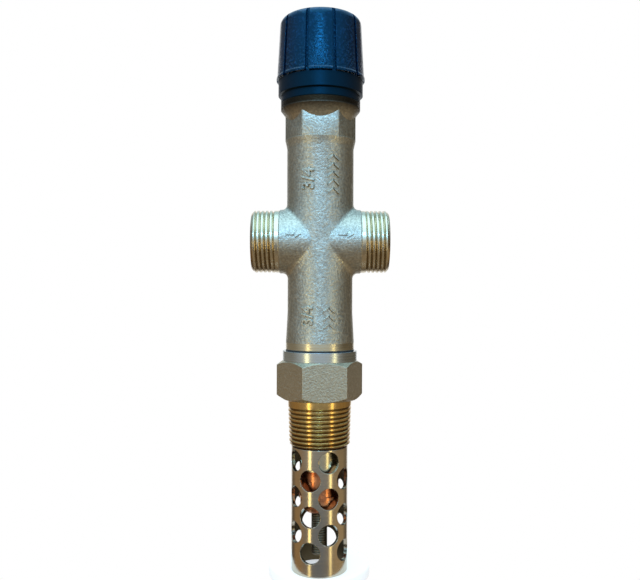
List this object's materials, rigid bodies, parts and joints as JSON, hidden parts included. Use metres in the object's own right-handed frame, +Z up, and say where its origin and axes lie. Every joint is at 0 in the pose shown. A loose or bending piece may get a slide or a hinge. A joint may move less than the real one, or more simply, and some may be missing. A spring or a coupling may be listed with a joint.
{
  "type": "thermal discharge valve",
  "caption": "Upright brass valve with side port threads, a ribbed black setting knob and a perforated sleeve round a heat-sensing element that lifts the disc off its seat.",
  "frame": {"origin": "on the valve's axis at the underside of the connector's hexagon, where it meets the boiler", "axes": "+Z up along the valve's axis towards the knob, +X along the outlet port"},
  "size_m": [0.058, 0.0378, 0.235],
  "materials": {
    "forged_brass": "blasted satin",
    "turned_brass": "turned",
    "copper": "drawn copper",
    "black_knob": "fine grain",
    "black_collar": "smooth",
    "black_rubber": "matte",
    "steel": "drawn",
    "white_plastic": "matte"
  },
  "bodies": {
    "valve": {"valve_body": "forged_brass", "connector": "turned_brass", "connector_gasket": "black_rubber", "sensor_sleeve": "turned_brass", "element_guide": "turned_brass", "element_capsule": "copper", "element_stud": "turned_brass", "gland_bush": "turned_brass", "gland_gasket": "black_rubber", "stem_o_ring": "black_rubber", "bonnet": "turned_brass", "bonnet_o_ring": "black_rubber", "spindle_o_ring": "black_rubber", "thrust_washer": "white_plastic", "collar_ring": "black_collar", "setting_spring": "steel"},
    "knob_set": {"knob": "black_knob", "knob_screw": "steel", "adjusting_spindle": "turned_brass", "spindle_clip": "steel"},
    "spring_nut": {"spring_plate": "turned_brass"},
    "lift_set": {"valve_stem": "steel", "disc_holder": "turned_brass", "disc_washer": "black_rubber", "disc_nut": "turned_brass", "element_piston": "steel"}
  },
  "joints": [
    {"name": "knob_turn", "type": "hinge", "parent": "valve", "child": "knob_set", "pos_m": [0, 0, 0.1356], "axis": [0, 0, 1], "range_deg": [0, 450]},
    {"name": "plate_travel", "type": "slide", "parent": "valve", "child": "spring_nut", "axis": [0, 0, 1], "range_m": [0, 0.00188]},
    {"name": "valve_lift", "type": "slide", "parent": "valve", "child": "lift_set", "axis": [0, 0, 1], "range_m": [0, 0.004], "stiffness_N_per_m": 2000, "springref_m": -0.005, "deforming": ["setting_spring"]}
  ],
  "couplings": [
    {"joint": "plate_travel", "follows": "knob_turn", "m_per_rad": 0.00023873}
  ]
}
